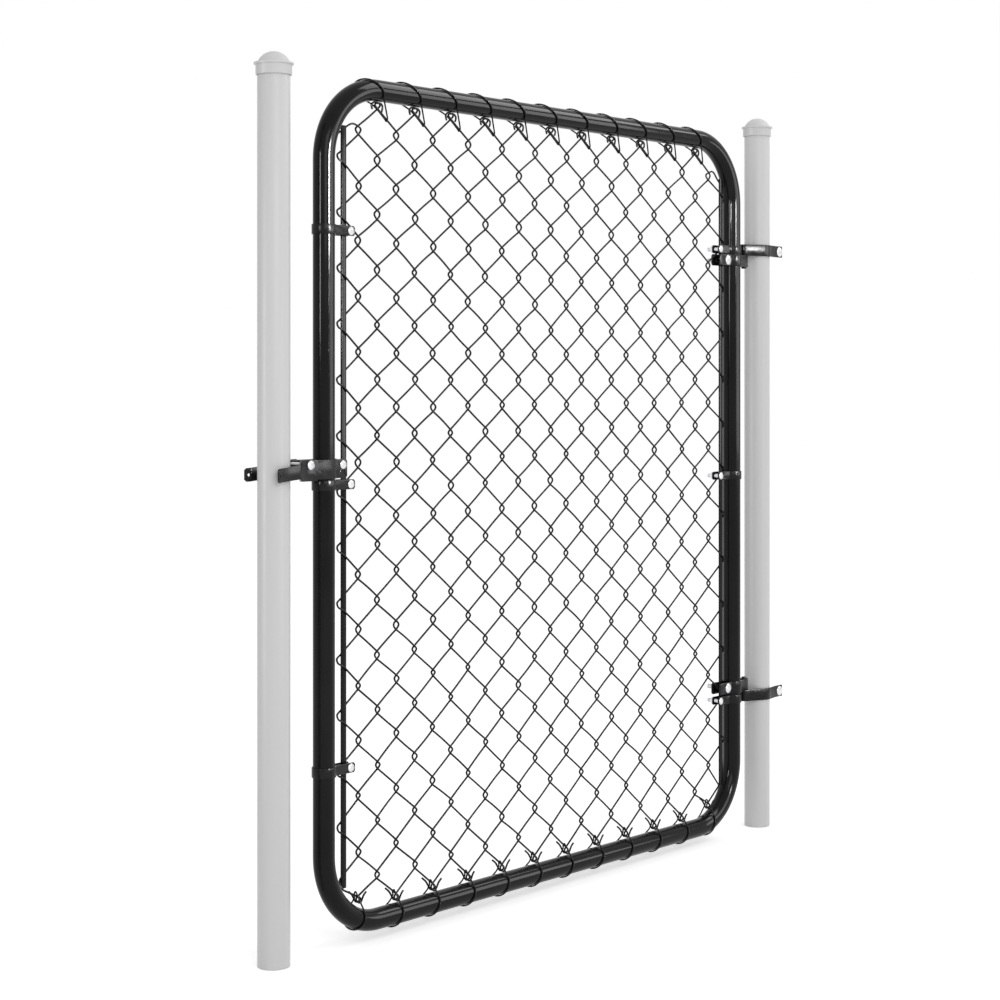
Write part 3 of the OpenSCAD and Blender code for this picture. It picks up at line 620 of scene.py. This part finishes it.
def bend_z(i, k):
    """Height of a bend. The last one keeps clear of the frame's round corner."""
    if k < HALF_ROWS:
        return row_z(k)
    x = column_x(i if on_right(i, k) else i - 1)
    low = min(inner_edge(x - KNUCKLE_W), inner_edge(x + KNUCKLE_W))
    return max(row_z(k), BEND_LOW - low + SEAT + KNUCKLE_H)


def frame_inside(z, s):
    """X of the frame's inner edge at height z, on the latch side (s = -1) or the hinge side (s = 1)."""
    past_bend = max(0.0, abs(z - FRAME_MID) - (BEND_HIGH - BEND_LOW) / 2)
    side = math.sqrt(max(0.0, INNER_R ** 2 - past_bend ** 2))
    return BEND_LEFT - side if s < 0 else BEND_RIGHT + side


def bar_ends(s):
    """Lowest and highest point of the tension bar on side s."""
    return (LEFT_BAR_LOW.z, LEFT_BAR_HIGH.z) if s < 0 else (RIGHT_BAR_LOW.z, RIGHT_BAR_HIGH.z)


def bar_middle(s):
    return LEFT_BAR_X if s < 0 else RIGHT_BAR_X


def node_table(rng):
    """Where each pair of wires hooks together: an uneven offset and the half width of the eye."""
    table = {}
    shift = 1.2
    for k in range(HALF_ROWS + 1):
        inner = 0 < k < HALF_ROWS
        move = shift if inner else 0.0
        wide, spare = next(((w, v) for last, w, v in EYES if k < last), (FOLD_X, 0.0))
        for j in range(-1, PICKETS):
            table[(j, k)] = (rng.uniform(-move, move), rng.uniform(-move, move),
                             wide + rng.uniform(-spare, spare) if inner else FOLD_X)
    return table


class Route:
    """Corner points of one wire and how far each corner is rounded."""

    def __init__(self):
        self.points, self.cuts = [], []

    def put(self, x, y, z, cut):
        self.points.append(Vector((x, y, z)))
        self.cuts.append(cut)


def short_end(route, i, s):
    """Over the end of a tension bar the wire humps, passes behind the bar and ends beside it."""
    top, bar_x = bar_ends(s)[1], bar_middle(s)
    inner_x = column_x(i if s < 0 else i - 1)
    route.put(bar_x + s * 12.5, LOOP_Y, top - 15, 1)
    route.put(bar_x + s * 5, LOOP_Y, top - 11, TURN)
    route.put(bar_x - s * 9, LOOP_Y * 0.7, top - 1, 6)
    route.put(bar_x + (inner_x - bar_x) * 0.58, s * STRAND_Y, row_z(1) + 13, 10)


def bar_loop(route, z, s, rng):
    """A loop round the bar, rounder on the latch side, where it stands off the bar."""
    edge = bar_middle(s) + s * BAR_W / 2
    frame_play = 0.6
    room = abs(frame_inside(z + math.copysign(5.0, z - FRAME_MID), s) - edge) - WIRE_R - frame_play
    out = min((8.6 if s < 0 else 3.6) + rng.uniform(-0.8, 0.8), room)
    rise = 7.5 if s < 0 else 6.5
    route.put(edge - s * 1.5, -s * LOOP_Y, z + rise + 1.0, TURN)
    route.put(edge + s * out, -s * LOOP_Y * 0.45, z + rise * 0.5, TURN)
    route.put(edge + s * out, s * LOOP_Y * 0.45, z - rise * 0.5, TURN)
    route.put(edge - s * 1.5, s * LOOP_Y, z - rise - 1.0, TURN)


def free_bend(route, z, s):
    """A bend past the end of the bar hangs free inside the frame's corner."""
    frame_play = 9.0
    beside = bar_middle(s) - s * (BAR_W / 2 + 2 * WIRE_R)
    by_frame = frame_inside(z, s) - s * frame_play
    x = max(by_frame, beside) if s < 0 else min(by_frame, beside)
    route.put(x, -s * STRAND_Y, z + FOLD_Z, TURN)
    route.put(x, s * STRAND_Y, z - FOLD_Z, TURN)


def top_knuckle(route, x, z, s, rng):
    """The folded end of a wire, hooked over its neighbour at the top."""
    y = -s * STRAND_Y
    out = rng.uniform(-1.5, 1.5)
    route.put(x - s * (14.0 + out), y * 1.6, z - 7.0 + out, 1)
    route.put(x - s * (17.0 + out), y * 1.6, z + 1.0, TURN)
    route.put(x - s * 11.0, y * 1.4, z + 6.2, TURN)
    route.put(x + s * 1.0, y, z + 5.4, TURN)
    route.put(x + s * 5.5, y, z + 2.0, TURN)
    route.put(x + s * FOLD_X, -y, z - FOLD_Z, TURN)


def low_knuckle(route, x, z, s, rng):
    """At the bottom the wire turns under its neighbour and its cut end lies back along its own strand."""
    y = s * STRAND_Y
    slope = 0.84
    reach = (17.0 if s > 0 else 11.0) + rng.uniform(-3.0, 3.0)
    gap = (3.6 if s > 0 else 3.0) + rng.uniform(-0.8, 0.8)
    half = reach * 0.55
    route.put(x + s * FOLD_X, -y, z + FOLD_Z, TURN)
    route.put(x + s * 5.0, y, z - 2.6, TURN)
    route.put(x - s * 1.0, y * 2.4, z - 5.0, TURN)
    route.put(x - s * (half + 1.0), y * 3.0, z + slope * (half + FOLD_X) - 0.6, TURN)
    route.put(x - s * (reach + gap * 0.4), y * 3.0, z + slope * (reach + FOLD_X) + FOLD_Z - gap, 1)


def picket_route(i, table, rng):
    """The zigzag of one wire from top to bottom, with a slight wave in each strand."""
    eye_rise, past_end, wave_cut = 0.62, 3.0, 14
    least_wave, most_wave = 0.4, 1.6
    route = Route()
    for k in range(HALF_ROWS + 1):
        s = 1 if on_right(i, k) else -1
        column = i if s > 0 else i - 1
        at_bar = column in (-1, PICKETS - 1)
        dx, dz, eye = table[(column, k)]
        x, z = column_x(column) + dx, bend_z(i, k) + dz
        low, high = bar_ends(s)
        if at_bar and k == 0:
            short_end(route, i, s)
        elif at_bar and k < HALF_ROWS and low + past_end < row_z(k) < high - past_end:
            bar_loop(route, row_z(k), s, rng)
        elif at_bar and k < HALF_ROWS:
            free_bend(route, row_z(k), s)
        elif k == 0:
            top_knuckle(route, x, z, s, rng)
        elif k == HALF_ROWS:
            low_knuckle(route, x, z, s, rng)
        else:
            route.put(x + s * eye, -s * STRAND_Y, z + eye * eye_rise, eye)
            route.put(x + s * eye, s * STRAND_Y, z - eye * eye_rise, eye)
        if k < HALF_ROWS:
            wave = rng.uniform(least_wave, most_wave) * s
            to_bar = i == 0 and s > 0 or i == PICKETS - 1 and s < 0
            if not at_bar and not to_bar:
                mid_x = (column_x(i - 1) + column_x(i)) / 2
                mid_z = (bend_z(i, k) + bend_z(i, k + 1)) / 2
                route.put(mid_x + wave, s * STRAND_Y, mid_z + abs(wave), wave_cut)
    return route


def add_weave(material):
    rng = random.Random(11)
    table = node_table(rng)
    quarters = ("left", "mid_left", "mid_right", "right")
    each = PICKETS // len(quarters)
    for q, place in enumerate(quarters):
        parts = []
        for i in range(q * each, (q + 1) * each):
            route = picket_route(i, table, rng)
            path = thinned(rounded(route.points, route.cuts, 4), WIRE_STEP)
            parts.append(tube(path, WIRE_R, WIRE_SIDES))
        piece = new_piece("weave_" + place, *joined(parts), material, "wire", "gate", 75.0)
        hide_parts("mesh_" + place)


# Ties

TIE_OPEN = 48.0
TIE_SIDES = 10
TIE_STEP = 0.5
FRONT_ANGLE = 40.0


def tie_ring(x, a, lean, v):
    """A point of the ring at a degrees round the rail. The ring leans and follows the frame's corners."""
    px = x - lean * (1 - math.cos(math.radians(a - FRONT_ANGLE))) / 2
    grow = TIE_R + SEAT
    base = BEND_HIGH if v > 0 else BEND_LOW
    mid = (outer_edge(px) + inner_edge(px)) / 2
    half = (outer_edge(px) - inner_edge(px)) / 2 + grow
    turn = math.radians(a)
    return Vector((px, -(FRAME_R + grow) * math.sin(turn), base + v * (mid - half * math.cos(turn))))


def tie_path(j, v):
    """One tie: round the rail, behind the knuckle and round a strand beside it. v is 1 at the top rail."""
    x = column_x(j)
    lean = 40.0 if v > 0 else 18.0
    side = 19.0 if v > 0 else -8.0
    slope = 0.73
    apex = bend_z(j + 1, 0) if v > 0 else bend_z(j, HALF_ROWS)
    hook_x = x + side
    hook_z = apex - v * (FOLD_Z + slope * (abs(side) + FOLD_X))
    steps = 30
    ring = [tie_ring(x, TIE_OPEN + (360 - 2 * TIE_OPEN) * n / steps, lean, v) for n in range(steps + 1)]
    gap = WIRE_R + TIE_R + 0.1
    behind = [Vector((x - 7.0, STRAND_Y * 2 + gap, apex + v * 4.0)),
              Vector((x + side * 0.3, STRAND_Y + gap, apex - v * 5.0))]
    hook = [Vector((hook_x, -STRAND_Y + gap, hook_z)), Vector((hook_x, -STRAND_Y, hook_z - v * gap * 1.5)),
            Vector((hook_x, -STRAND_Y - gap, hook_z))]
    return ring + rounded([ring[-1]] + behind + hook + [ring[0]], 3.5, 4)[1:-1]


def add_ties(material):
    for place, first, v in (("top", 1, 1), ("bottom", 0, -1)):
        parts = [tube(thinned(tie_path(j, v), TIE_STEP), TIE_R, TIE_SIDES, shut=True)
                 for j in range(first, PICKETS - 1, 2)]
        piece = new_piece(place + "_tie_wires", *joined(parts), material, "wire", "gate", 75.0)
        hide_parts(place + "_ties")


# CAD pieces that stay

POST_NODES = ("hinge_post", "hinge_post_cap", "latch_post", "latch_post_cap")


def dress(node, material, edge):
    """A finish, a small round on each edge and even shading."""
    sharp = 40.0
    obj = nodes[node]
    obj.data.materials.clear()
    obj.data.materials.append(material)
    weld = obj.modifiers.new("weld", "WELD")
    weld.merge_threshold = 0.00001
    bevel = obj.modifiers.new("edge", "BEVEL")
    bevel.width = edge
    bevel.segments = 2
    bevel.limit_method = "ANGLE"
    bevel.angle_limit = math.radians(sharp)
    bevel.harden_normals = False
    shade(obj, sharp)


def dress_nodes(black, straps, posts):
    """The nodes that no scene piece replaces keep their solids."""
    for node in nodes:
        if nodes[node].hide_render:
            continue
        if node in POST_NODES:
            dress(node, posts, 0.0004)
        elif "tension_bar" in node:
            dress(node, black, 0.0005)
        else:
            dress(node, straps, 0.0004)


def lit_groups():
    """The black coated pieces and the pale posts, which each have lamps of their own."""
    coated = bpy.data.collections.new("coated")
    pale = bpy.data.collections.new("pale")
    for obj in bpy.context.scene.objects:
        if obj.type != "MESH" or obj.hide_render or not obj.data.materials:
            continue
        name = obj.data.materials[0].name
        if name.endswith("_black"):
            coated.objects.link(obj)
        elif name == "post_grey":
            pale.objects.link(obj)
    return coated, pale


bpy.context.scene.view_settings.view_transform = "Standard"
add_camera()
add_world()
add_floor()
black = gloss_black()
straps = strap_black()
wire = wire_black()
zinc = zinc_plate()
grey = post_grey()
frame_tube(black)
add_bolts(zinc)
add_weave(wire)
add_ties(wire)
dress_nodes(black, straps, grey)
coated, pale = lit_groups()
add_light(coated, pale)
